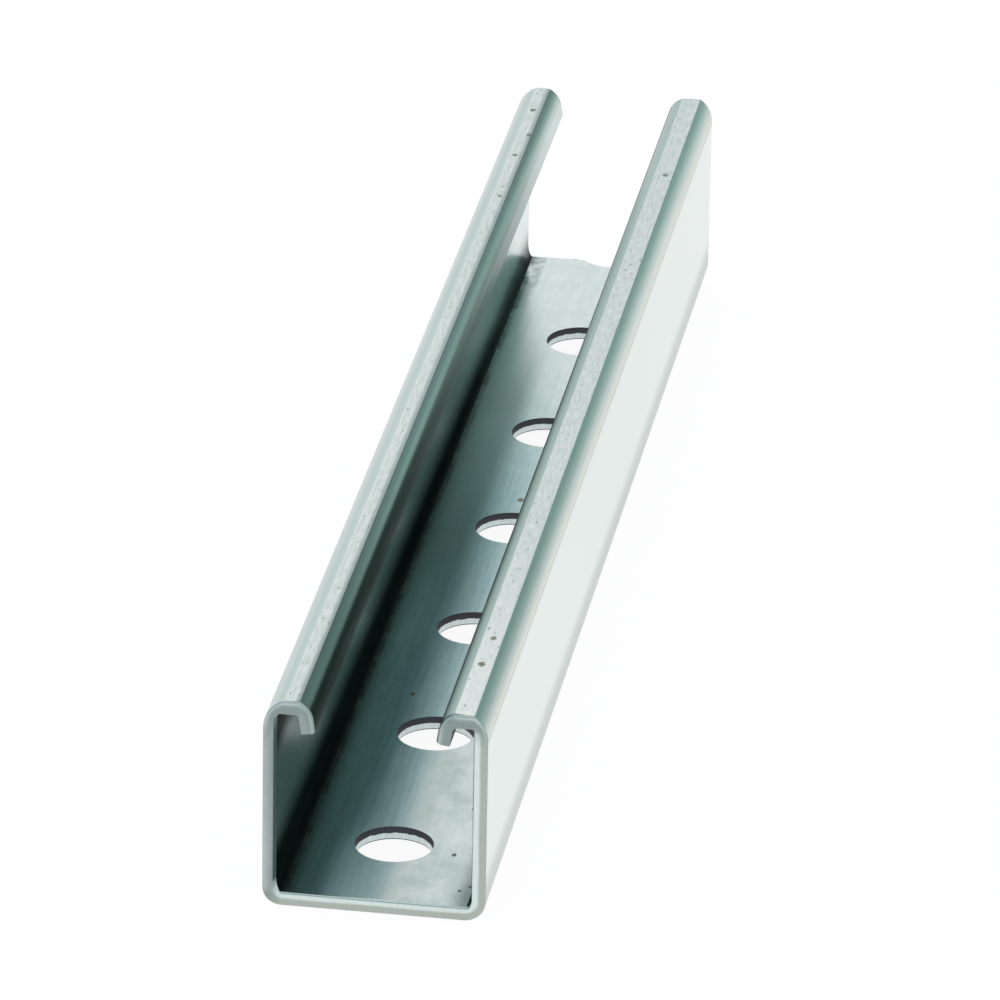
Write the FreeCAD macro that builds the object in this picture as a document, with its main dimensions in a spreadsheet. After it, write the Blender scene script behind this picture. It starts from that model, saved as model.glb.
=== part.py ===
import FreeCAD, Part
import math
import os
from enum import IntEnum

import Sketcher

# Strut channel: one length of strip steel, rolled cold into a square channel whose two edges
# are turned in and down, with a row of round holes punched through its web.
# The web lies flat, its outer face on z = 0, and the slot opens upwards. The bar runs along y,
# its near end at -y, and the origin is the middle of the web's outer face.

# Millimetres, and degrees for the one angle
DRIVING_SIZES = [
    ("width", 41.275, "across the outer faces of the walls, 1 5/8 in"),
    ("height", 41.275, "from the web's outer face to the top of the lips, 1 5/8 in"),
    ("bar_length", 304.8, "cut length, 12 in"),
    ("thickness", 2.66, "12 gauge strip"),
    ("corner_radius", 1.6, "inside the bends between web and walls"),
    ("shoulder_radius", 0.4, "inside the bends between walls and lips"),
    ("shoulder_sweep", 5.9, "outside those bends, which the rolls draw out thin and wide"),
    ("lip_flat_start", 3.0, "from a wall's outer face to the flat on top of its lip"),
    ("lip_flat", 3.35, "width of that flat, which the rolls press level"),
    ("hem_radius", 0.7, "inside the bends where the lips turn down"),
    ("hem_sweep", 4.6, "outside those bends"),
    ("lip_width", 9.525, "from a wall's outer face to the slot, 3/8 in"),
    ("lip_depth", 6.35, "from the top of a lip to the lowest point of its leg, 1/4 in"),
    ("leg_slant", 8.0, "how far each leg leans in towards the slot"),
    ("edge_round", 0.35, "on the two slit edges of the strip"),
    ("cut_bevel", 0.25, "on the edges of the two sheared ends"),
    ("hole_diameter", 14.29, "punched holes, 9/16 in"),
    ("hole_pitch", 47.625, "from hole to hole, 1 7/8 in"),
    ("first_hole", 23.2, "from the near end to the middle of the first hole"),
    ("punched_land", 1.4, "height of the smooth wall that the punch leaves in a hole"),
    ("rim_growth", 0.2, "how much wider all round a hole breaks out at the web's inner face"),
]

# A sketch numbers the points of a piece from 1, and its own two axes back from -1
START, END, CENTRE = IntEnum("Spot", "START END CENTRE")
LEVEL_AXIS = -START
UPRIGHT_AXIS = -END
ORIGIN = (LEVEL_AXIS, START)

# How far apart two places may be and still count as the same
CLOSE = 0.001

doc = FreeCAD.newDocument("strut_channel")


def write_sheet():
    """Write each driving size in a cell of its own, beside its name and what it measures."""
    sheet = doc.addObject("Spreadsheet::Sheet", "sizes")
    for row, (name, value, note) in enumerate(DRIVING_SIZES, start=1):
        sheet.set(f"A{row}", name)
        sheet.set(f"B{row}", str(value))
        sheet.set(f"C{row}", note)
        sheet.setAlias(f"B{row}", name)
    doc.recompute()
    return sheet


def origin_feature(role):
    """Find one of the body's own origin planes or axes."""
    return next(item for item in body.Origin.OriginFeatures if item.Role == role)


def new_sketch(name, role):
    """Start an empty sketch on one of the body's origin planes."""
    sketch = body.newObject("Sketcher::SketchObject", name)
    sketch.AttachmentSupport = (origin_feature(role), [""])
    sketch.MapMode = "FlatFace"
    return sketch


def constrain(sketch, *rule):
    """Add a constraint that has no size."""
    sketch.addConstraint(Sketcher.Constraint(*rule))


def dimension(sketch, name, formula, kind, *reference):
    """Add a dimension and bind it to the sheet."""
    value = sketch.evalExpression(formula)
    if kind == "Angle":
        value = math.radians(value)
    index = sketch.addConstraint(Sketcher.Constraint(kind, *reference, float(value)))
    sketch.renameConstraint(index, name)
    sketch.setExpression(f"Constraints.{name}", formula)


def straight(first, last):
    """A straight piece of an outline."""
    return Part.LineSegment(FreeCAD.Vector(*first, 0), FreeCAD.Vector(*last, 0))


def bend(centre, radius, first, last):
    """A round piece of an outline, counter-clockwise from one point to the other."""
    turns = [math.atan2(point[1] - centre[1], point[0] - centre[0]) for point in (first, last)]
    circle = Part.Circle(FreeCAD.Vector(*centre, 0), FreeCAD.Vector(0, 0, 1), radius)
    return Part.ArcOfCircle(circle, *turns)


def moved(point, direction, distance):
    """The point that lies a distance along a direction."""
    return (point[0] + direction[0] * distance, point[1] + direction[1] * distance)


# Half of the cross-section, from the middle of the web round to the slit edge and back inside
def half_outline():
    """Return the outline's pieces by name, in order round the half."""
    half = sizes.width / 2
    top = sizes.height
    gauge = sizes.thickness
    inside = half - gauge
    under = top - gauge
    corner_outside = sizes.corner_radius + gauge
    corner = (half - corner_outside, corner_outside)

    # A shoulder is square inside. Outside, it sweeps from the wall up to a crease, where the
    # flat on top of the lip starts.
    shoulder = (inside - sizes.shoulder_radius, under - sizes.shoulder_radius)
    flat_start = (half - sizes.lip_flat_start, top)
    flat_end = (flat_start[0] - sizes.lip_flat, top)
    sweep = sizes.shoulder_sweep
    fall = math.sqrt(sweep ** 2 - (sweep - sizes.lip_flat_start) ** 2)
    swept_shoulder = (half - sweep, top - fall)

    # Down along the leg, and across it towards the slot
    slant = math.radians(sizes.leg_slant)
    down = (-math.sin(slant), -math.cos(slant))
    across = (-math.cos(slant), math.sin(slant))

    # The strip's two rounded edges set how far in and how far down the lip reaches
    edge = sizes.edge_round
    between = gauge - 2 * edge
    slot_x = half - sizes.lip_width + edge
    wall_z = top - sizes.lip_depth + edge
    slot_edge = (slot_x, wall_z + across[1] * between)
    wall_edge = (slot_x - across[0] * between, wall_z)
    leg_low_outside = moved(slot_edge, across, edge)
    leg_low_inside = moved(wall_edge, across, -edge)
    tip_outside = moved(slot_edge, down, edge)
    tip_inside = moved(wall_edge, down, edge)

    # A hem's inside bend lies its own radius below the lip and behind the leg
    behind = moved(leg_low_inside, across, -sizes.hem_radius)
    hem = moved(behind, down, (under - sizes.hem_radius - behind[1]) / down[1])
    leg_high_inside = moved(hem, across, sizes.hem_radius)

    # Its outside sweeps from a crease at the end of the lip's flat into the leg
    sweep = sizes.hem_sweep
    reach = sum((low - high) * way for low, high, way in zip(leg_low_outside, flat_end, across))
    fall = math.sqrt(sweep ** 2 - (sweep - reach) ** 2)
    swept_hem = moved(moved(flat_end, across, reach - sweep), down, fall)
    leg_high_outside = moved(swept_hem, across, sweep)

    return {
        "web_outer": straight((0, 0), (corner[0], 0)),
        "corner_outer": bend(corner, corner_outside, (corner[0], 0), (half, corner[1])),
        "wall_outer": straight((half, corner[1]), (half, swept_shoulder[1])),
        "shoulder_outer": bend(swept_shoulder, sizes.shoulder_sweep,
                               (half, swept_shoulder[1]), flat_start),
        "lip_top": straight(flat_start, flat_end),
        "hem_outer": bend(swept_hem, sizes.hem_sweep, flat_end, leg_high_outside),
        "leg_outer": straight(leg_high_outside, leg_low_outside),
        "slot_edge": bend(slot_edge, edge, leg_low_outside, tip_outside),
        "tip": straight(tip_outside, tip_inside),
        "wall_edge": bend(wall_edge, edge, tip_inside, leg_low_inside),
        "leg_inner": straight(leg_low_inside, leg_high_inside),
        "hem_inner": bend(hem, sizes.hem_radius, (hem[0], under), leg_high_inside),
        "lip_under": straight((hem[0], under), (shoulder[0], under)),
        "shoulder_inner": bend(shoulder, sizes.shoulder_radius,
                               (inside, shoulder[1]), (shoulder[0], under)),
        "wall_inner": straight((inside, shoulder[1]), (inside, corner[1])),
        "corner_inner": bend(corner, sizes.corner_radius, (corner[0], gauge), (inside, corner[1])),
        "web_inner": straight((corner[0], gauge), (0, gauge)),
        "middle": straight((0, gauge), (0, 0)),
    }


def draw_section():
    """Draw the half section and tie every piece of it to the sheet."""
    sketch = new_sketch("half_section", "XZ_Plane")
    number = {name: sketch.addGeometry(piece, False) for name, piece in half_outline().items()}

    # Each piece runs smoothly into the next, but for the middle and the creases beside the lip's
    # flat. The inside bends are met at their far ends, because an arc always runs
    # counter-clockwise.
    cornered = {"middle", "lip_top"}
    met_backwards = {"hem_inner", "shoulder_inner", "corner_inner"}
    order = list(number)
    for before, after in zip(order, order[1:] + order[:1]):
        leaves = START if before in met_backwards else END
        enters = END if after in met_backwards else START
        joint = "Coincident" if cornered & {before, after} else "Tangent"
        constrain(sketch, joint, number[before], leaves, number[after], enters)
    constrain(sketch, "Coincident", number["web_outer"], START, *ORIGIN)
    for name in ("web_outer", "web_inner", "lip_top", "lip_under"):
        constrain(sketch, "Horizontal", number[name])
    for name in ("wall_outer", "wall_inner", "middle"):
        constrain(sketch, "Vertical", number[name])
    constrain(sketch, "Parallel", number["leg_inner"], number["leg_outer"])
    constrain(sketch, "Perpendicular", number["tip"], number["leg_outer"])

    dimension(sketch, "half_width", "sizes.width / 2",
              "DistanceX", *ORIGIN, number["wall_outer"], START)
    dimension(sketch, "full_height", "sizes.height",
              "DistanceY", *ORIGIN, number["lip_top"], START)
    dimension(sketch, "web_gauge", "sizes.thickness",
              "DistanceY", number["middle"], END, number["middle"], START)
    for name, inner, outer in (("wall_gauge", "wall_inner", "wall_outer"),
                               ("lip_gauge", "lip_under", "lip_top"),
                               ("leg_gauge", "leg_inner", "leg_outer")):
        dimension(sketch, name, "sizes.thickness", "Distance", number[inner], START, number[outer])
    for name in ("corner", "shoulder", "hem"):
        dimension(sketch, f"{name}_inside", f"sizes.{name}_radius",
                  "Radius", number[f"{name}_inner"])
    dimension(sketch, "corner_outside", "sizes.corner_radius + sizes.thickness",
              "Radius", number["corner_outer"])
    for name in ("shoulder", "hem"):
        dimension(sketch, f"{name}_outside", f"sizes.{name}_sweep",
                  "Radius", number[f"{name}_outer"])
    dimension(sketch, "flat_start", "sizes.lip_flat_start",
              "DistanceX", number["lip_top"], START, number["wall_outer"], START)
    dimension(sketch, "flat_width", "sizes.lip_flat",
              "DistanceX", number["lip_top"], END, number["lip_top"], START)
    for name in ("slot_edge", "wall_edge"):
        dimension(sketch, f"{name}_radius", "sizes.edge_round", "Radius", number[name])
    dimension(sketch, "lip_reach", "sizes.lip_width - sizes.edge_round",
              "DistanceX", number["slot_edge"], CENTRE, number["wall_outer"], START)
    dimension(sketch, "lip_drop", "sizes.lip_depth - sizes.edge_round",
              "DistanceY", number["wall_edge"], CENTRE, number["lip_top"], START)
    dimension(sketch, "leg_rise", "90 - sizes.leg_slant", "Angle", number["leg_inner"])
    doc.recompute()
    return sketch


# The strip as it leaves the rolls: the half section run along the bar, then mirrored
def roll_channel(section):
    """Make the whole channel, with no holes yet and sharp ends."""
    half = body.newObject("PartDesign::Pad", "half_channel")
    half.Profile = section
    half.SideType = "Symmetric"
    half.setExpression("Length", "sizes.bar_length")
    doc.recompute()

    whole = body.newObject("PartDesign::Mirrored", "whole_channel")
    whole.Originals = [half]
    whole.MirrorPlane = (origin_feature("YZ_Plane"), [""])
    body.Tip = whole
    doc.recompute()
    return whole


def bevel_cut_ends(channel):
    """Break every edge of the two end faces, as the shear leaves them."""
    end_y = sizes.bar_length / 2
    cut_edges = []
    for index, edge in enumerate(channel.Shape.Edges, start=1):
        box = edge.BoundBox
        if box.YLength < CLOSE and abs(abs(box.Center.y) - end_y) < CLOSE:
            cut_edges.append(f"Edge{index}")
    ends = body.newObject("PartDesign::Chamfer", "sheared_ends")
    ends.Base = (channel, cut_edges)
    ends.setExpression("Size", "sizes.cut_bevel")
    body.Tip = ends
    doc.recompute()
    return ends


# A punched hole, seen in its own middle plane. The punch comes in through the web's outer face
# and leaves a smooth land, and the slug breaks out above it, to a slightly wider rim.
def draw_hole():
    """Draw half of what the punch takes away, from the hole's axis outwards."""
    sketch = new_sketch("hole_profile", "YZ_Plane")
    sketch.setExpression("AttachmentOffset.Base.x", "sizes.first_hole - sizes.bar_length / 2")
    past = 1.0
    radius = sizes.hole_diameter / 2
    rim = radius + sizes.rim_growth
    gauge = sizes.thickness
    outline = [(0, -past), (radius, -past), (radius, sizes.punched_land), (rim, gauge),
               (rim, gauge + past), (0, gauge + past)]
    sides = [sketch.addGeometry(straight(first, last), False)
             for first, last in zip(outline, outline[1:] + outline[:1])]
    for side, following in zip(sides, sides[1:] + sides[:1]):
        constrain(sketch, "Coincident", side, END, following, START)

    below, land, breakout, above, lid, axis = sides
    constrain(sketch, "Horizontal", below)
    constrain(sketch, "Horizontal", lid)
    constrain(sketch, "Vertical", land)
    constrain(sketch, "Vertical", above)
    constrain(sketch, "PointOnObject", axis, START, UPRIGHT_AXIS)
    constrain(sketch, "PointOnObject", axis, END, UPRIGHT_AXIS)
    dimension(sketch, "hole_radius", "sizes.hole_diameter / 2", "DistanceX", *ORIGIN, land, END)
    dimension(sketch, "land_height", "sizes.punched_land", "DistanceY", *ORIGIN, land, END)
    dimension(sketch, "rim_radius", "sizes.hole_diameter / 2 + sizes.rim_growth",
              "DistanceX", *ORIGIN, breakout, END)
    dimension(sketch, "rim_height", "sizes.thickness", "DistanceY", *ORIGIN, breakout, END)
    dimension(sketch, "run_in", str(past), "DistanceY", below, END, *ORIGIN)
    dimension(sketch, "run_out", str(past), "DistanceY", above, START, above, END)
    doc.recompute()
    return sketch


def punch_holes(profile):
    """Cut the first hole and repeat it as far as the far end, which may cut through the last."""
    hole = body.newObject("PartDesign::Groove", "first_punched_hole")
    hole.Profile = profile
    hole.ReferenceAxis = (profile, ["V_Axis"])
    hole.Angle = 360
    body.Tip = hole
    doc.recompute()

    row = body.newObject("PartDesign::LinearPattern", "hole_row")
    row.Originals = [hole]
    row.Direction = (origin_feature("Y_Axis"), [""])
    row.Mode = "Spacing"
    row.setExpression("Offset", "sizes.hole_pitch")
    row.setExpression("Occurrences", "floor((sizes.bar_length - sizes.first_hole"
                      " + sizes.hole_diameter / 2) / sizes.hole_pitch) + 1")
    body.Tip = row
    doc.recompute()
    return row


def check_and_write(unpunched_volume):
    """Stop if a feature failed or the holes cut nothing, and otherwise write the piece."""
    for item in doc.Objects:
        if {"Invalid", "Error"} & set(item.State):
            raise RuntimeError(f"{item.Name} did not compute: {item.State}")
    shape = body.Shape
    if shape.isNull() or not shape.isValid() or len(shape.Solids) != 1:
        raise RuntimeError("the channel is not one valid solid")
    if shape.Volume >= unpunched_volume:
        raise RuntimeError("the holes cut nothing")
    os.makedirs("parts", exist_ok=True)
    shape.exportStep(f"parts/{body.Label}.step")


sizes = write_sheet()
body = doc.addObject("PartDesign::Body", "strut_channel")
body.Label = "strut_channel"
channel = bevel_cut_ends(roll_channel(draw_section()))
unpunched_volume = channel.Shape.Volume
punch_holes(draw_hole())
check_and_write(unpunched_volume)
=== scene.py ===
import math

import bmesh
import bpy
from mathutils import Matrix, Vector, noise


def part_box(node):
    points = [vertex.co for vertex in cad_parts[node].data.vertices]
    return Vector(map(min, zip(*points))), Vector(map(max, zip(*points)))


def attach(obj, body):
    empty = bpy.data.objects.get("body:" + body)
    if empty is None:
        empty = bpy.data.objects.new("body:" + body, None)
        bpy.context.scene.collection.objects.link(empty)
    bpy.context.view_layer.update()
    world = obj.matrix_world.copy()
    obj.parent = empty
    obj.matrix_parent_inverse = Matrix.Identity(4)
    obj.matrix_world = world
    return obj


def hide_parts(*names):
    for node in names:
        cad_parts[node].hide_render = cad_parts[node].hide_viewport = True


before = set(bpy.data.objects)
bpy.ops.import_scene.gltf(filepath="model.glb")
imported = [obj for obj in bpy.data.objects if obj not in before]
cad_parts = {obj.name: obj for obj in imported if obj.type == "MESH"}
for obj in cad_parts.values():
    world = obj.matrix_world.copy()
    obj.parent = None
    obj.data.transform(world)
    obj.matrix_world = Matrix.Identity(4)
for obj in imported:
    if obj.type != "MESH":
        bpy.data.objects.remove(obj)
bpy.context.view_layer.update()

# The channel's steel
# One strip of 12 gauge steel, zinc-coated: its two edges are slit, its middle is punched with
# round holes, it is rolled cold into a channel with turned-in lips, and sheared at both ends.

MM = 0.001
_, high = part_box("strut_channel")
half_width = high.x / MM
height = high.z / MM
half_length = high.y / MM
thickness = 2.66

# Outer radii of the bottom bends, left and right: the right one came out slacker. Inside they are
# sharp across the web and drawn out up the wall, the left one more.
corner_bend = {-1: 3.5, 1: 4.0}
corner_inside = 1.0
corner_rise = {-1: 3.2, 1: 1.6}

# The rolls draw the shoulders out thin and wide, press a flat on top of each lip, and sweep the
# lip's slot side down from that flat. Inside, these bends are square.
shoulder_sweep = 5.9
shoulder_inside = 0.4
flat_start = {-1: 3.9, 1: 2.55}
flat_width = {-1: 2.8, 1: 3.7}
hem_sweep = 4.6
hem_inside = 0.7
lip_width = 9.525
lip_depth = 6.35
leg_slant = math.radians(8)
slit_round = 0.35

hole_radius = 7.145
hole_pitch = 47.625
first_hole = 23.2
hole_count = 7
hole_places = [first_hole - half_length + hole_pitch * n for n in range(hole_count)]
punched_land = 1.4
rim_growth = 0.2
rim_round = 0.3

# Cell that each hole is punched from, and how finely the strip is divided
cell = 20.0
cell_steps = 12
bend_steps = 10
flat_step = 2.6
end_strip = 0.6

# Runs of the section past the flat web
CORNER, WALL, SHOULDER, FLAT, HEM, LEG = range(2, 8)


def straight(first, last):
    """A straight run of the section: its length, and a way to find the place of a share of it."""
    first, last = Vector(first), Vector(last)
    return (last - first).length, lambda share: first.lerp(last, share)


def bend(centre, radius, start, turn, rise=1.0):
    """A round run of the section, from an angle on through a turn, its height drawn out by rise."""
    def place(share):
        angle = start + turn * share
        return Vector(centre) + radius * Vector((math.cos(angle), rise * math.sin(angle)))
    return radius * turn, place


def section_runs(side):
    """Pair the runs of the outer and inner face, from the web's middle to the slit edge."""
    quarter = math.pi / 2
    inside, under = half_width - thickness, height - thickness
    corner, rise = corner_bend[side], corner_rise[side]

    # The shoulder's outer arc rises from the wall to the crease where the lip's flat starts
    shoulder_turn = math.acos(1 - flat_start[side] / shoulder_sweep)
    shoulder = Vector((half_width - shoulder_sweep, height - shoulder_sweep * math.sin(shoulder_turn)))
    flat_end = Vector((half_width - flat_start[side] - flat_width[side], height))

    # The slit edge lies lip_width in from the wall and lip_depth down, square across the leg
    outward = Vector((-math.cos(leg_slant), math.sin(leg_slant)))
    downward = Vector((-math.sin(leg_slant), -math.cos(leg_slant)))
    slot_round = Vector((
        half_width - lip_width + slit_round,
        height - lip_depth + slit_round + outward.y * (thickness - 2 * slit_round),
    ))
    tip = slot_round + (outward + downward) * slit_round
    tip_inside = tip - outward * thickness

    reach = outward.dot(tip - flat_end)
    hem_turn = math.acos(1 - reach / hem_sweep)
    hem = flat_end + outward * (reach - hem_sweep) + downward * hem_sweep * math.sin(hem_turn)
    behind = tip_inside - outward * hem_inside
    hem_round = behind + downward * (under - hem_inside - behind.y) / downward.y

    outer = [
        straight((0, 0), (cell / 2, 0)),
        straight((cell / 2, 0), (half_width - corner, 0)),
        bend((half_width - corner, corner), corner, -quarter, quarter),
        straight((half_width, corner), (half_width, shoulder.y)),
        bend(shoulder, shoulder_sweep, 0, shoulder_turn),
        straight((half_width - flat_start[side], height), flat_end),
        bend(hem, hem_sweep, 2 * quarter - leg_slant - hem_turn, hem_turn),
        straight(hem + outward * hem_sweep, tip),
    ]
    inner = [
        straight((0, thickness), (cell / 2, thickness)),
        straight((cell / 2, thickness), (inside - corner_inside, thickness)),
        bend((inside - corner_inside, thickness + rise), corner_inside, -quarter, quarter,
             rise / corner_inside),
        straight((inside, thickness + rise), (inside, under - shoulder_inside)),
        bend((inside - shoulder_inside, under - shoulder_inside), shoulder_inside, 0, quarter),
        straight((inside - shoulder_inside, under), (hem_round.x, under)),
        bend(hem_round, hem_inside, quarter, quarter - leg_slant),
        straight(hem_round + outward * hem_inside, tip_inside),
    ]
    return list(zip(outer, inner))


runs = {side: section_runs(side) for side in (-1, 1)}


def rolled(across, depth):
    """Roll a point of the flat strip: its x and z, and the way to the inner face there."""
    side = -1 if across < 0 else 1
    left = abs(across)
    for (length, outer_place), (_, inner_place) in runs[side]:
        share = left / length
        if share <= 1:
            break
        left -= length
    outer, inner = outer_place(min(share, 1)), inner_place(min(share, 1))
    spot = outer.lerp(inner, depth / thickness)
    way = (inner - outer).normalized()
    return Vector((side * spot.x, spot.y)), Vector((side * way.x, way.y))


def evenly(start, stop, steps):
    """Divide a stretch into equal steps, its start left out."""
    return [start + (stop - start) * (n + 1) / steps for n in range(steps)]


def column_places(side):
    """List the places of the lengthwise lines on one half of the strip, and each run's start."""
    places, starts = [0.0], []
    for (length, outer_place), _ in runs[side]:
        starts.append(places[-1])
        bulge = outer_place(0.5) - (outer_place(0) + outer_place(1)) / 2
        steps = bend_steps if bulge.length > 0.1 else math.ceil(length / flat_step)
        if len(starts) == 1:
            steps = cell_steps // 2
        places += evenly(places[-1], places[-1] + length, steps)
    return places, starts


right_columns, right_starts = column_places(1)
left_columns, left_starts = column_places(-1)
columns = [-place for place in reversed(left_columns[1:])] + right_columns
rows = [-half_length, -half_length + end_strip]
for place in hole_places:
    gap = place - cell / 2 - rows[-1]
    rows += evenly(rows[-1], place - cell / 2, math.ceil(gap / flat_step))
    rows += evenly(place - cell / 2, place + cell / 2, cell_steps)

steel = bmesh.new()
bmesh.ops.create_grid(steel, x_segments=len(columns) - 1, y_segments=len(rows) - 1, size=1)
for vert in steel.verts:
    vert.co.x = columns[round((vert.co.x + 1) / 2 * (len(columns) - 1))]
    vert.co.y = rows[round((vert.co.y + 1) / 2 * (len(rows) - 1))]


def in_cell(point, place, margin=0.01):
    """Tell whether a point of the flat strip lies in the cell of a hole."""
    return max(abs(point.x), abs(point.y - place)) < cell / 2 + margin


def angle_round(x, y):
    """Turn a point on a square into an angle, so that even steps on its sides give even angles."""
    eighth = math.pi / 4
    if abs(x) >= abs(y):
        return eighth * y / x + (math.pi if x < 0 else 0)
    return 2 * eighth - eighth * x / y + (math.pi if y < 0 else 0)


# Punch the holes: each cell is cleared, and rings of faces fill it up to the hole's edge
for place in hole_places:
    slug = [face for face in steel.faces if in_cell(face.calc_center_median(), place)]
    bmesh.ops.delete(steel, geom=slug, context="FACES")
    rim = [
        edge for edge in steel.edges
        if edge.is_boundary and all(in_cell(vert.co, place) for vert in edge.verts)
        and edge.verts[0].co.y < rows[-1] - 0.01
    ]
    for ring in (hole_radius + 1.5, hole_radius + 0.35, hole_radius):
        made = bmesh.ops.extrude_edge_only(steel, edges=rim)["geom"]
        rim = [item for item in made if isinstance(item, bmesh.types.BMEdge) and item.is_boundary]
        for vert in {vert for edge in rim for vert in edge.verts}:
            x, y = vert.co.x, vert.co.y - place
            if math.hypot(x, y) > cell / 2 - 0.1:
                turn = angle_round(x, y)
            else:
                turn = math.atan2(y, x)
            vert.co.x = ring * math.cos(turn)
            vert.co.y = ring * math.sin(turn) + place

# Shear the far end, give the strip its thickness, and divide the cut walls by depth
for y, beyond in ((half_length, True), (half_length - end_strip, False)):
    bmesh.ops.bisect_plane(
        steel, geom=steel.verts[:] + steel.edges[:] + steel.faces[:],
        plane_co=(0, y, 0), plane_no=(0, 1, 0), clear_outer=beyond,
    )
bmesh.ops.solidify(steel, geom=steel.faces[:], thickness=thickness)
bmesh.ops.translate(steel, verts=steel.verts[:], vec=(0, 0, thickness))
near_outer = (0.08, 0.2, 0.4, 0.8, 1.2)
near_inner = (1.6, 2.0, thickness - 0.35, thickness - 0.15, thickness - 0.05)
for depth in (*near_outer, punched_land, *near_inner):
    bmesh.ops.bisect_plane(
        steel, geom=steel.verts[:] + steel.edges[:] + steel.faces[:],
        plane_co=(0, 0, depth), plane_no=(0, 0, 1),
    )

ZINC, PUNCHED, SHEARED = range(3)
skin_place = steel.verts.layers.float_vector.new("strip")
cut_place = steel.verts.layers.float_vector.new("cut")
slit_right, slit_left = right_columns[-1], left_columns[-1]


def nearest_hole(point):
    """Find the hole whose middle is nearest along the strip."""
    return min(hole_places, key=lambda place: abs(point.y - place))


for vert in steel.verts:
    vert[skin_place] = vert.co
for face in steel.faces:
    centre = face.calc_center_median()
    face.smooth = True
    face.material_index = ZINC
    if 0.001 < centre.z < thickness - 0.001:
        place = nearest_hole(centre)
        if math.hypot(centre.x, centre.y - place) < hole_radius + 0.1:
            face.material_index = PUNCHED
        elif abs(centre.y) > half_length - 0.01:
            face.material_index = SHEARED


def rounded(depth, radius):
    """How far a rounded edge draws back at a depth below the face."""
    left = min(max(radius - depth, 0), radius)
    return radius - math.sqrt(radius ** 2 - left ** 2)


# Shape the cut walls and roll the section. The shear's blade came from the left and above, and
# drew the borders that it met over, most of all on the slopes of the lips.
UP_LEFT = Vector((-1, 1)).normalized()
cut_round = 0.15
entry_round = 0.4
slope_round = 0.7
for vert in steel.verts:
    flat = vert.co.copy()
    place = nearest_hole(flat)
    reach = Vector((flat.x, flat.y - place, 0))
    depth = flat.z
    spot, inward = rolled(flat.x, depth)
    if reach.length < hole_radius + 0.01:
        growth = rounded(depth, rim_round)
        if depth > punched_land:
            growth += rim_growth * (depth - punched_land) / (thickness - punched_land)
        flat += reach.normalized() * growth
        if abs(depth - punched_land) < 0.25:
            depth += 0.1 * noise.noise(reach * 1.3 + Vector((0, place, 0)))
    if flat.x > slit_right - 0.01 or flat.x < -slit_left + 0.01:
        draw = rounded(min(depth, thickness - depth), slit_round)
        flat.x -= math.copysign(draw, flat.x)
    if abs(flat.y) > half_length - 0.01:
        starts = left_starts if flat.x < 0 else right_starts
        on_lip = min(max((abs(flat.x) - starts[SHOULDER] + 2) / 4, 0), 1)
        on_slope = min(max((abs(flat.x) - starts[HEM] + 1) / 2, 0), 1)
        entering = inward.dot(UP_LEFT)
        outer_round = cut_round + entry_round * max(0, -entering) + slope_round * on_slope
        inner_round = cut_round + entry_round * max(0, entering) * (1 - on_lip)
        draw = max(rounded(depth, outer_round), rounded(thickness - depth, inner_round))
        flat.y -= math.copysign(draw, flat.y)
        entered_inside = min(max(0.5 + 2 * entering, 0), 1)
        # The cut's second value is painted light: 1 where the strip's inner face looks up or to the
        # left, 0 where it looks down or to the right
        vert[cut_place] = (
            depth + (thickness - 2 * depth) * entered_inside,
            0.5 - 0.5 * inward.x + 0.5 * inward.y,
            on_lip,
        )
    spot, inward = rolled(flat.x, depth)
    vert.co = Vector((spot.x, flat.y, spot.y)) * MM
bmesh.ops.recalc_face_normals(steel, faces=steel.faces[:])

# Cut walls meet the faces sharply, and so do the two borders of each lip's flat
creases = [right_starts[FLAT], right_starts[HEM], -left_starts[FLAT], -left_starts[HEM]]
for edge in steel.edges:
    first, last = (vert[skin_place] for vert in edge.verts)
    on_crease = any(abs(first.x - x) + abs(last.x - x) < 0.01 for x in creases)
    creased = on_crease and first.z + last.z < 0.001
    edge.smooth = edge.calc_face_angle(0) < math.radians(32) and not creased

mesh = bpy.data.meshes.new("strut_channel_steel")
steel.to_mesh(mesh)
steel.free()
channel = bpy.data.objects.new("strut_channel_steel", mesh)
bpy.context.collection.objects.link(channel)
shading = channel.modifiers.new("even shading", "WEIGHTED_NORMAL")
shading.keep_sharp = True


def linear(code):
    """Turn an sRGB hex value to the linear colour that a shader takes."""
    parts = [int(code[n:n + 2], 16) / 255 for n in (1, 3, 5)]
    return [part / 12.92 if part <= 0.04045 else ((part + 0.055) / 1.055) ** 2.4 for part in parts] + [1]


def add(tree, kind, settings, links=None):
    """Add one node: settings fill its properties and sockets, links feed its sockets."""
    made = tree.nodes.new(kind)
    for name, value in settings.items():
        if isinstance(name, str) and hasattr(made, name):
            setattr(made, name, value)
        else:
            made.inputs[name].default_value = value
    for name, source in (links or {}).items():
        tree.links.new(source, made.inputs[name])
    return made.outputs


def new_finish(name):
    """Start a material with an empty tree."""
    finish = bpy.data.materials.new(name)
    finish.use_nodes = True
    finish.node_tree.nodes.clear()
    return finish, finish.node_tree


def pattern(tree, strip, steps, detail, low, high, roughness=0.6):
    """Spread noise over the strip, its steps in mm, its tones from low to high drawn to 0 and 1."""
    place = add(tree, "ShaderNodeMapping", {"Scale": [1 / step for step in steps]}, {"Vector": strip})[0]
    tone = add(tree, "ShaderNodeTexNoise", {"Scale": 1.0, "Detail": detail, "Roughness": roughness},
               {"Vector": place})["Fac"]
    return add(tree, "ShaderNodeMapRange", {"From Min": low, "From Max": high}, {"Value": tone})[0]


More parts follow.
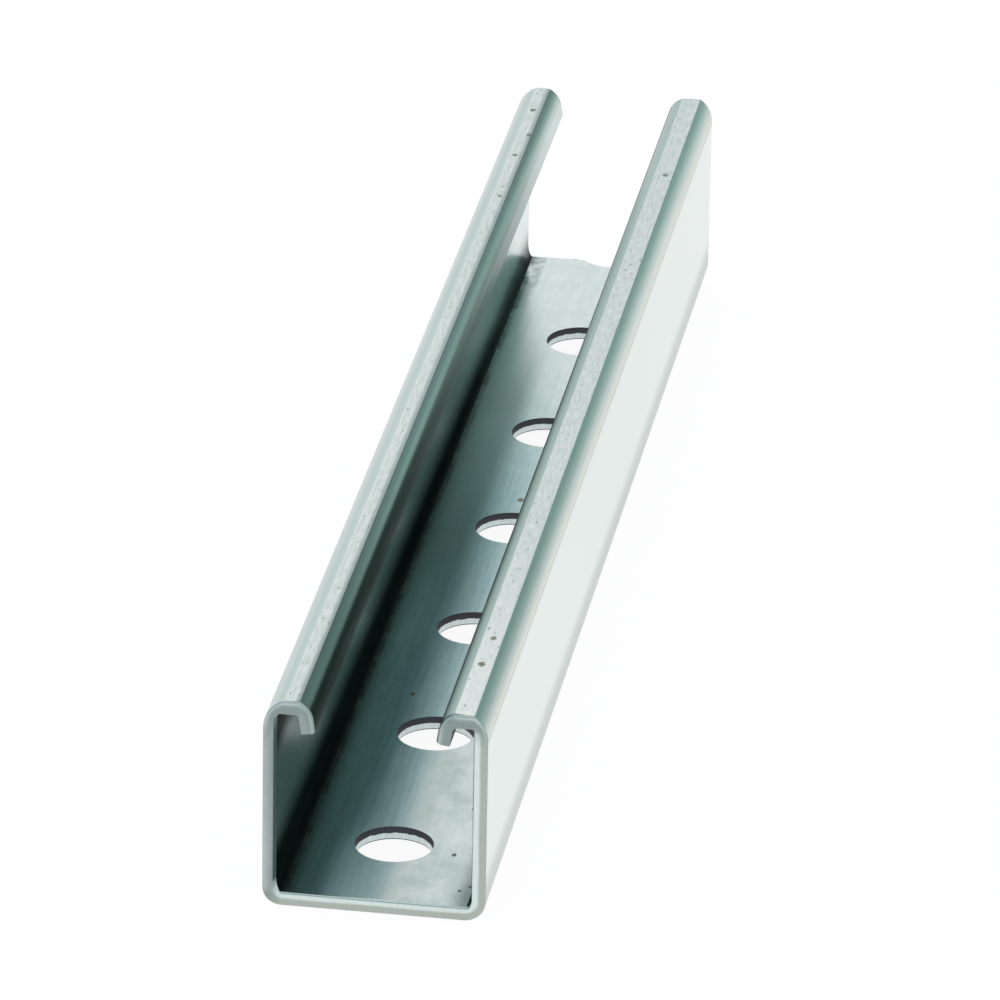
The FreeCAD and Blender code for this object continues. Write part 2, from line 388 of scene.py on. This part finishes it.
def region(tree, *parts):
    """Mask the region where all the parts overlap.

    A part is another mask, a share, or limits for a value: (value, nothing, full) rises from one
    limit to the other, and (value, low, high, soft) fades out over the soft width past both.
    """
    mask = None
    for part in parts:
        if isinstance(part, tuple) and len(part) == 4:
            value, low, high, soft = part
            part = region(tree, (value, low - soft, low), (value, high + soft, high))
        elif isinstance(part, tuple):
            value, nothing, full = part
            part = add(tree, "ShaderNodeMapRange",
                       {"interpolation_type": "SMOOTHSTEP",
                        "From Min": min(nothing, full), "From Max": max(nothing, full),
                        "To Min": float(nothing > full), "To Max": float(nothing < full)},
                       {"Value": value})[0]
        if mask is None:
            mask = part
        elif isinstance(part, float):
            mask = add(tree, "ShaderNodeMath", {"operation": "MULTIPLY", 1: part}, {0: mask})[0]
        else:
            mask = add(tree, "ShaderNodeMath", {"operation": "MULTIPLY"}, {0: mask, 1: part})[0]
    return mask


def laid(tree, base, code, *parts):
    """Lay a colour over a base in the region of those parts."""
    return add(tree, "ShaderNodeMix", {"data_type": "RGBA", "B": linear(code)},
               {"Factor": region(tree, *parts), "A": base})["Result"]


# Bright zinc coat on cold-rolled strip: clean metal with a cool cast, half glossy, drawn into
# fine lengthwise streaks by the mill, and mottled where the forming rolls pressed on it
zinc, tree = new_finish("zinc_coated_strip")
strip = add(tree, "ShaderNodeAttribute", {"attribute_name": "strip"})["Vector"]
place = add(tree, "ShaderNodeSeparateXYZ", {}, {"Vector": strip})
across, along, through = place["X"], place["Y"], place["Z"]
outer_face = add(tree, "ShaderNodeMath", {"operation": "LESS_THAN", 1: thickness / 2},
                 {0: through})[0]
inner_face = add(tree, "ShaderNodeMath", {"operation": "GREATER_THAN", 1: thickness / 2},
                 {0: through})[0]

streaks = pattern(tree, strip, (0.4, 30, 1), 4.0, 0.3, 0.7)
bands = pattern(tree, strip, (2.6, 150, 1), 3.0, 0.35, 0.65)
lines = pattern(tree, strip, (0.5, 900, 1), 3.0, 0.4, 0.6)
clouds = pattern(tree, strip, (3, 5, 1), 5.0, 0.35, 0.65, 0.7)
tone = add(tree, "ShaderNodeMix", {"data_type": "FLOAT", "Factor": 0.6},
           {"A": streaks, "B": bands})["Result"]
base = add(tree, "ShaderNodeMix",
           {"data_type": "RGBA", "A": linear("#dce9e6"), "B": linear("#f0f8f6")},
           {"Factor": tone})["Result"]

# The web is bluer along its middle, with fine blue streaks, and cloudier to the right. It is
# painted darker as shade at the far left, in its far left corner and at the foot of the near right wall.
middle = region(tree, (across, -14.0, -2.0, 6.0), inner_face, (along, 95.0, 10.0))
base = laid(tree, base, "#cdeff3", middle, 0.9)
blue = pattern(tree, strip, (0.6, 22, 1), 4.0, 0.45, 0.75)
base = laid(tree, base, "#84b2cc", middle, blue, 0.4)
# Painted shade on the web's far left
far_left_shade = (across, -20.0, -9.0, 5.0), (along, 10.0, 70.0, 50.0)
base = laid(tree, base, "#8fa5a5", *far_left_shade, inner_face, 0.7)
stains = pattern(tree, strip, (5, 7, 1), 4.0, 0.4, 0.65, 0.7)
base = laid(tree, base, "#9cb5b3", (across, 5.0, 17.0, 4.0), inner_face, stains, 0.4)
base = laid(tree, base, "#a4bab8", inner_face, clouds, 0.2)
# Painted shade at the foot of the near right wall
right_foot_shade = (across, 12.5, 16.5), (along, -115.0, -148.0)
base = laid(tree, base, "#54706a", *right_foot_shade, inner_face, 0.75)
# Painted shade in the web's far left corner
far_corner_shade = (across, -17.2, -14.5, 1.2), (along, 120.0, 145.0)
base = laid(tree, base, "#6f8a86", *far_corner_shade, inner_face, clouds, 0.9)

# The flats on the lips are mottled lengthwise, with small dark dents. The right one is rubbed
# brighter toward its near end, and the left one is painted grey along its border with the slot, as
# shade.
right_flat, left_flat = right_starts[FLAT], -left_starts[FLAT]
right_hem, left_hem = right_starts[HEM], -left_starts[HEM]
flats = add(tree, "ShaderNodeMath", {"operation": "MAXIMUM"}, {
    0: region(tree, (across, right_flat, right_hem, 0.06)),
    1: region(tree, (across, left_hem, left_flat, 0.06)),
})[0]
flats = region(tree, flats, outer_face)
base = laid(tree, base, "#e5edeb", flats)
mottle = pattern(tree, strip, (0.5, 3.5, 1), 4.0, 0.35, 0.65)
base = laid(tree, base, "#b3c1bf", flats, mottle, 0.55)
base = laid(tree, base, "#f6f9f7", flats, (along, -60.0, -140.0), (across, 0.0, 10.0), 0.5)
dents = pattern(tree, strip, (0.8, 1.5, 1), 3.0, 0.63, 0.71)
base = laid(tree, base, "#6b7a79", flats, dents, 0.7)
# Painted shade along the left flat's border with the slot
base = laid(tree, base, "#8ca1a2", (across, left_hem + 1.2, left_hem), flats)

# The rolls draw full-length lines on the bends, the sharpest where the right shoulder starts. The
# left shoulder is painted paler as a highlight, and the right one darker toward its near end as shade.
right_shoulder, left_shoulder = right_starts[SHOULDER], -left_starts[SHOULDER]
from_middle = add(tree, "ShaderNodeMath", {"operation": "ABSOLUTE"}, {0: across})[0]
bends = region(tree, outer_face, (from_middle, right_shoulder - 2.0, right_shoulder + 1.0))
bends = add(tree, "ShaderNodeMath", {"operation": "SUBTRACT", "use_clamp": True},
            {0: bends, 1: flats})[0]
base = laid(tree, base, "#9db0ac", bends, lines, 0.3)
# Painted highlight on the left shoulder
base = laid(tree, base, "#f3f6f5", (across, left_flat, left_shoulder, 0.5), outer_face, 0.4)
# Painted shade on the right shoulder, toward its near end
right_bend_shade = (across, right_shoulder + 1.5, right_flat, 0.5), (along, 80.0, -130.0)
base = laid(tree, base, "#9fb0ab", *right_bend_shade, outer_face, 0.35)
warm = (across, right_shoulder - 0.5, right_shoulder + 1.6, 1.2)
base = laid(tree, base, "#efe9e0", warm, outer_face, 0.45)
roll_line = (across, right_shoulder - 0.1, right_shoulder + 0.1, 0.16)
base = laid(tree, base, "#8b8f88", roll_line, outer_face, 0.55)

# Outside, the walls are paler than the bends, and the right one is painted greyer toward its foot, as
# shade
right_wall, right_corner = right_starts[WALL], right_starts[CORNER]
walls = (from_middle, right_wall + 2.2, right_shoulder - 0.6, 0.3)
base = laid(tree, base, "#e9efec", walls, outer_face, 0.7)
# Painted shade toward the foot of the right wall
foot = (across, right_wall + 7.0, right_wall + 1.5), (across, right_corner + 1.0, right_corner + 2.0)
base = laid(tree, base, "#aeb9b4", *foot, outer_face, 0.75)

# The slot sides are painted darker as shade, darkest low on the left lip and where the right lip turns
# down, and the right lip's crease has a painted highlight line
right_leg, left_leg = right_starts[LEG], -left_starts[LEG]
hem = region(tree, (across, left_leg, left_hem, 0.4), outer_face)
# Painted shade in bands on the left slot side, darker toward the near end
base = laid(tree, base, "#b9c0c3", hem, (across, left_hem - 1.7, left_hem - 0.9), 0.7)
base = laid(tree, base, "#959f9e", hem, (along, -20.0, -130.0), 0.8)
# Painted shade low on the left slot side
low_side_shade = (across, -slit_left, left_leg + 1.7, 0.8), (along, 135.0, -90.0)
base = laid(tree, base, "#3b4f4a", *low_side_shade, outer_face, 0.9)
# A pale, speckled line runs along the left slit edge
pale_slit_line = (across, 0.45 - slit_left, 0.65 - slit_left, 0.12)
base = laid(tree, base, "#e3ece9", pale_slit_line, outer_face, streaks, 0.7)
# Painted highlight line on the right lip's crease
base = laid(tree, base, "#bccbc8", (across, right_hem, right_hem + 0.3), outer_face, 0.6)
# Painted shade where the right lip turns down
base = laid(tree, base, "#526864", (across, right_leg - 2.8, right_leg - 1.6), outer_face, 0.8)

# Inside, both walls are painted darker as shade from the lips, the left one most toward the near end
left_inside = region(tree, (across, -16.9, -17.4), inner_face)
# Painted shade on the left inner wall
base = laid(tree, base, "#74827a", left_inside, (along, 165.0, 30.0), 0.5)
# Painted shade on the right inner wall
base = laid(tree, base, "#4d5f5c", (across, right_corner + 2.0, right_hem, 2.0), inner_face, 0.5)

# Single olive, rust and dark spots, longer than wide, and the right lip's rubbed near end: place
# on the strip, radius and colour
lengthening = 1.5
lengthened = add(tree, "ShaderNodeMapping", {"Scale": (1, 1 / lengthening, 1)}, {"Vector": strip})[0]
ragged = pattern(tree, strip, (0.5, 0.5, 0.5), 2.0, 0.2, 0.8)
for (spot_across, spot_along, spot_depth), radius, code in (
    ((right_flat + 2.2, -130.2, 0), 1.2, "#55583a"),
    ((right_flat + 1.8, -118.9, 0), 1.0, "#66684c"),
    ((right_flat + 1.5, 109.1, 0), 1.0, "#5d6965"),
    ((left_flat - 1.1, 139.4, 0), 1.0, "#4f5b58"),
    ((left_flat - 2.3, 125.5, 0), 0.9, "#5d6965"),
    ((left_flat - 1.2, 114.0, 0), 0.9, "#5d6965"),
    ((left_flat - 1.5, 91.4, 0), 0.8, "#6d7975"),
    ((-0.4, 27.3, thickness), 1.1, "#6e5f22"),
    ((-7.0, -65.4, thickness), 0.8, "#8d7038"),
    ((11.5, -131.6, thickness), 0.75, "#141a1a"),
    ((16.2, -144.0, thickness), 0.6, "#2c3838"),
    ((14.6, -145.9, thickness), 0.6, "#2c3838"),
    ((12.0, -112.0, thickness), 0.6, "#5a6a68"),
    ((15.0, -121.0, thickness), 1.0, "#71827f"),
    ((right_flat + 1.8, -151.8, 0), 2.3, "#f4f5ec"),
):
    spot = (spot_across, spot_along / lengthening, spot_depth)
    apart = add(tree, "ShaderNodeVectorMath", {"operation": "DISTANCE", 1: spot},
                {0: lengthened})["Value"]
    apart = add(tree, "ShaderNodeMath", {"operation": "MULTIPLY_ADD", 1: radius * 0.5},
                {0: ragged, 2: apart})[0]
    base = laid(tree, base, code, (apart, radius, radius * 0.6), 0.85)

# The bends are duller than the flat faces, and so is the web where its near end was handled
gloss = add(tree, "ShaderNodeMapRange", {"To Min": 0.28, "To Max": 0.31}, {"Value": bands})[0]
gloss = add(tree, "ShaderNodeMath", {"operation": "MULTIPLY_ADD", 1: 0.12}, {0: bends, 2: gloss})[0]
handled = region(tree, (across, -11.0, -2.0, 4.0), (along, -40.0, -130.0))
gloss = add(tree, "ShaderNodeMath", {"operation": "MULTIPLY_ADD", 1: 0.07},
            {0: handled, 2: gloss})[0]
relief = add(tree, "ShaderNodeBump", {"Strength": 0.15, "Distance": 0.02 * MM},
             {"Height": streaks})[0]
pressed = add(tree, "ShaderNodeBump", {"Strength": 0.5, "Distance": -0.05 * MM},
              {"Height": region(tree, flats, dents), "Normal": relief})[0]
clean = add(tree, "ShaderNodeBsdfPrincipled", {"Metallic": 1.0},
            {"Base Color": base, "Roughness": gloss, "Normal": pressed})[0]

# Matt black painted shade lies along the foot of the left wall, highest at the near end, and under
# the left lip there, with a patchy painted shade line in the web's left corner; real black specks lie on
# the web
foot_height = add(tree, "ShaderNodeMath", {"operation": "MULTIPLY_ADD", 1: -0.025},
                  {0: along, 2: across})[0]
# Painted shade at the foot of the left wall and under the left lip
painted_shade_and_specks = add(tree, "ShaderNodeMath", {"operation": "MAXIMUM"}, {
    0: region(tree, (foot_height, -31.5, -22.0), 0.94),
    1: region(tree, (across, -45.0, -51.0), (along, -118.0, -150.0), 0.85),
})[0]
specks = pattern(tree, strip, (0.6, 0.9, 1), 2.0, 0.735, 0.77)
# Real specks over the web, and a patchy painted shade line in its left corner
specks_and_corner_shade = add(tree, "ShaderNodeMath", {"operation": "MAXIMUM"}, {
    0: region(tree, specks, (across, -17.2, 17.0, 0.2)),
    1: region(tree, clouds, (across, -17.2, -16.6, 1.0), 0.7),
})[0]
painted_shade_and_specks = add(tree, "ShaderNodeMath", {"operation": "MAXIMUM"}, {
    0: region(tree, painted_shade_and_specks, left_inside),
    1: region(tree, specks_and_corner_shade, inner_face, 0.8),
})[0]

# A pale matt patch of painted light lies on the web's near end, left of the middle
painted_light_patch = region(tree, (across, -7.0, -2.0, 4.5), (along, -155.0, -136.0, 22.0), inner_face, 0.35)
# The matt colour is black for the painted shade and specks, and pale for the painted light
dull = add(tree, "ShaderNodeMix",
           {"data_type": "RGBA", "A": linear("#0b1111"), "B": linear("#b9dcde")},
           {"Factor": region(tree, (painted_light_patch, 0.0, 0.05))})["Result"]
cover = add(tree, "ShaderNodeMath", {"operation": "MAXIMUM"}, {0: painted_shade_and_specks, 1: painted_light_patch})[0]
matt = add(tree, "ShaderNodeBsdfDiffuse", {}, {"Color": dull})[0]
surface = add(tree, "ShaderNodeMixShader", {}, {"Fac": cover, 1: clean, 2: matt})[0]
add(tree, "ShaderNodeOutputMaterial", {}, {"Surface": surface})

# Punched wall: bright and drawn up to the land's edge, where the punch passed, and dark and
# torn above it, where the slug broke out
punched, tree = new_finish("punched_steel_edge")
strip = add(tree, "ShaderNodeAttribute", {"attribute_name": "strip"})["Vector"]
through = add(tree, "ShaderNodeSeparateXYZ", {}, {"Vector": strip})["Z"]
drawn = pattern(tree, strip, (0.25, 0.25, 8), 3.0, 0.3, 0.7)
jags = add(tree, "ShaderNodeMapping", {"Scale": (1 / 0.6, 1 / 0.6, 1 / 2.5)}, {"Vector": strip})[0]
jagged = add(tree, "ShaderNodeTexNoise", {"Scale": 1.0, "Detail": 3.0}, {"Vector": jags})["Fac"]
height_on_wall = add(tree, "ShaderNodeMath", {"operation": "MULTIPLY_ADD", 1: 0.4, 2: -0.2},
                     {0: jagged})[0]
height_on_wall = add(tree, "ShaderNodeMath", {"operation": "ADD"}, {0: height_on_wall, 1: through})[0]
torn = add(tree, "ShaderNodeMapRange",
           {"From Min": punched_land - 0.04, "From Max": punched_land + 0.04},
           {"Value": height_on_wall})[0]
base = add(tree, "ShaderNodeMix",
           {"data_type": "RGBA", "A": linear("#c0cccc"), "B": linear("#dfe9e8")},
           {"Factor": drawn})["Result"]
base = laid(tree, base, "#4b5556", (through, 0.0, 0.25, 0.1))
base = laid(tree, base, "#6a6a70", torn)
gloss = add(tree, "ShaderNodeMapRange", {"To Min": 0.38, "To Max": 0.75}, {"Value": torn})[0]
shader = add(tree, "ShaderNodeBsdfPrincipled", {"Metallic": 1.0},
             {"Base Color": base, "Roughness": gloss})[0]
add(tree, "ShaderNodeOutputMaterial", {}, {"Surface": shader})

# Sheared end: a pale, smooth border where the blade entered, and greyer torn steel past it, both
# painted paler as light on the parts of the section whose inner face looks up or to the left. The
# left wall's inner border is darker still, and the lips' ends are an even grey with a pale rim: the
# burnished roll-over, painted paler as a highlight.
sheared, tree = new_finish("sheared_steel_end")
cut = add(tree, "ShaderNodeAttribute", {"attribute_name": "cut"})["Vector"]
cut = add(tree, "ShaderNodeSeparateXYZ", {}, {"Vector": cut})
strip = add(tree, "ShaderNodeAttribute", {"attribute_name": "strip"})["Vector"]
place = add(tree, "ShaderNodeSeparateXYZ", {}, {"Vector": strip})
across, through = place["X"], place["Z"]
waves = add(tree, "ShaderNodeMapping", {"Scale": (1 / 8, 1, 1 / 3)}, {"Vector": strip})[0]
wobble = add(tree, "ShaderNodeTexNoise", {"Scale": 1.0, "Detail": 3.0}, {"Vector": waves})["Fac"]
depth_in_cut = add(tree, "ShaderNodeMath", {"operation": "MULTIPLY_ADD", 1: 0.5},
                   {0: wobble, 2: cut["X"]})[0]
torn = region(tree, (depth_in_cut, 1.2, 1.8))
# Painted light: the end is paler where the strip's inner face looks up or to the left
smooth_part = add(tree, "ShaderNodeMix",
                  {"data_type": "RGBA", "A": linear("#8e9ea0"), "B": linear("#dfebe8")},
                  {"Factor": cut["Y"]})["Result"]
torn_part = add(tree, "ShaderNodeMix",
                {"data_type": "RGBA", "A": linear("#6c7c7c"), "B": linear("#bfc6be")},
                {"Factor": cut["Y"]})["Result"]
base = add(tree, "ShaderNodeMix", {"data_type": "RGBA"},
           {"Factor": torn, "A": smooth_part, "B": torn_part})["Result"]
left_wall = (across, left_shoulder, -left_starts[WALL], 1.0)
base = laid(tree, base, "#46595a", left_wall, (through, thickness - 0.8, thickness - 0.6))
base = laid(tree, base, "#9aa7a7", cut["Z"])
grain = pattern(tree, strip, (0.6, 0.6, 0.6), 3.0, 0.4, 0.7)
base = laid(tree, base, "#7d8a89", grain, 0.15)
# The pale rim is the burnished roll-over, painted paler as a highlight
rim = region(tree, (through, 1.0, 0.4), cut["Z"])
base = laid(tree, base, "#dfe8e7", rim)
gloss = add(tree, "ShaderNodeMapRange", {"To Min": 0.34, "To Max": 0.5}, {"Value": torn})[0]
gloss = add(tree, "ShaderNodeMath", {"operation": "MULTIPLY_ADD", 1: 0.35}, {0: rim, 2: gloss})[0]
shader = add(tree, "ShaderNodeBsdfPrincipled", {"Metallic": 1.0},
             {"Base Color": base, "Roughness": gloss})[0]
add(tree, "ShaderNodeOutputMaterial", {}, {"Surface": shader})

for finish in (zinc, punched, sheared):
    mesh.materials.append(finish)
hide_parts("strut_channel")
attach(channel, "root")

# The studio
# A pale table and an even white surround that lights all sides alike. Bright steel shows what
# stands round it, so a dim tent and pale and dark cards stand there for its reflections alone.

white = linear("#ffffff")
floor_mesh = bmesh.new()
bmesh.ops.create_grid(floor_mesh, x_segments=1, y_segments=1, size=30)
table_mesh = bpy.data.meshes.new("pale_table")
floor_mesh.to_mesh(table_mesh)
floor_mesh.free()
table = bpy.data.objects.new("pale_table", table_mesh)
bpy.context.collection.objects.link(table)
under_the_part = 0.01
table.location.z = -under_the_part * MM


def seen_as_backdrop(tree):
    """Tell camera, glossy and transmission rays from the others."""
    path = add(tree, "ShaderNodeLightPath", {})
    seen = add(tree, "ShaderNodeMath", {"operation": "MAXIMUM"},
               {0: path["Is Camera Ray"], 1: path["Is Glossy Ray"]})[0]
    return add(tree, "ShaderNodeMath", {"operation": "MAXIMUM"},
               {0: seen, 1: path["Is Transmission Ray"]})[0]


paper, tree = new_finish("white_table_top")
share = region(tree, seen_as_backdrop(tree), 0.85)
matt = add(tree, "ShaderNodeBsdfDiffuse", {"Color": linear("#f2f2f2")})[0]
glow = add(tree, "ShaderNodeEmission", {"Color": white, "Strength": 1.07})[0]
surface = add(tree, "ShaderNodeMixShader", {}, {"Fac": share, 1: matt, 2: glow})[0]
add(tree, "ShaderNodeOutputMaterial", {}, {"Surface": surface})
table.data.materials.append(paper)

world = bpy.data.worlds.new("white_surround")
world.use_nodes = True
bpy.context.scene.world = world
tree = world.node_tree
tree.nodes.clear()
level = add(tree, "ShaderNodeMix", {"data_type": "RGBA", "A": linear("#e7e7e7"), "B": white},
            {"Factor": seen_as_backdrop(tree)})["Result"]
surround = add(tree, "ShaderNodeBackground", {"Strength": 1.0}, {"Color": level})[0]
add(tree, "ShaderNodeOutputWorld", {}, {"Surface": surround})


def toward(azimuth, elevation, distance):
    """Find the place at that azimuth, clockwise from +y, elevation and distance from the origin."""
    a, e = math.radians(azimuth), math.radians(elevation)
    return Vector((math.sin(a) * math.cos(e), math.cos(a) * math.cos(e), math.sin(e))) * distance


def stand_card(name, azimuths, elevations, code, distance=6.0):
    """Stand a matt card that only reflections see, spread over those azimuths and elevations."""
    made = bmesh.new()
    bmesh.ops.create_grid(made, x_segments=12, y_segments=6, size=1)
    for vert in made.verts:
        share_x, share_y = (vert.co.x + 1) / 2, (vert.co.y + 1) / 2
        vert.co = toward(
            azimuths[0] + (azimuths[1] - azimuths[0]) * share_x,
            elevations[0] + (elevations[1] - elevations[0]) * share_y,
            distance,
        )
    card_mesh = bpy.data.meshes.new(name)
    made.to_mesh(card_mesh)
    made.free()
    card = bpy.data.objects.new(name, card_mesh)
    bpy.context.collection.objects.link(card)
    finish, card_tree = new_finish(name)
    glow = add(card_tree, "ShaderNodeEmission", {"Color": linear(code), "Strength": 1.0})[0]
    add(card_tree, "ShaderNodeOutputMaterial", {}, {"Surface": glow})
    card_mesh.materials.append(finish)
    card.visible_camera = card.visible_diffuse = card.visible_shadow = False


stand_card("dim_tent", (0, 360), (0.2, 89.5), "#7fa0a0", distance=6.6)
stand_card("bright_card", (-23, -3), (10, 60), "#ffffff")
stand_card("edge_card", (-3, 2), (3, 80), "#4a8a94")
stand_card("left_card", (-50, -23), (10, 60), "#d6e1de")
stand_card("dark_card", (2, 10), (3, 80), "#050f12")
stand_card("side_card", (10, 60), (32, 70), "#050f12")
stand_card("low_right_card", (9, 60), (0.2, 32), "#8fb0a8")
stand_card("low_left_card", (-75, -3), (0.2, 10), "#ccd8d5")
stand_card("overhead_card", (120, 260), (45, 70), "#ffffff")
stand_card("roof_card", (0, 360), (70, 89), "#ffffff")

# The camera
# Stands in front and a little to the right of the channel's near end, and looks down on it.

target = Vector((-0.215, -2.235, 15.823)) * MM
azimuth = math.radians(8.416)
elevation = math.radians(24.353)
roll = math.radians(1.0194)
distance = 1776.04 * MM
camera_data = bpy.data.cameras.new("camera")
camera_data.sensor_width = 36
camera_data.lens = 325.326
camera = bpy.data.objects.new("camera", camera_data)
bpy.context.collection.objects.link(camera)
back = Vector((
    math.sin(azimuth) * math.cos(elevation),
    -math.cos(azimuth) * math.cos(elevation),
    math.sin(elevation),
))
camera.location = target + back * distance
camera.rotation_mode = "QUATERNION"
tilt = Matrix.Rotation(roll, 3, "Z").to_quaternion()
camera.rotation_quaternion = (-back).to_track_quat("-Z", "Y") @ tilt
bpy.context.scene.camera = camera
bpy.context.scene.view_settings.view_transform = "Standard"
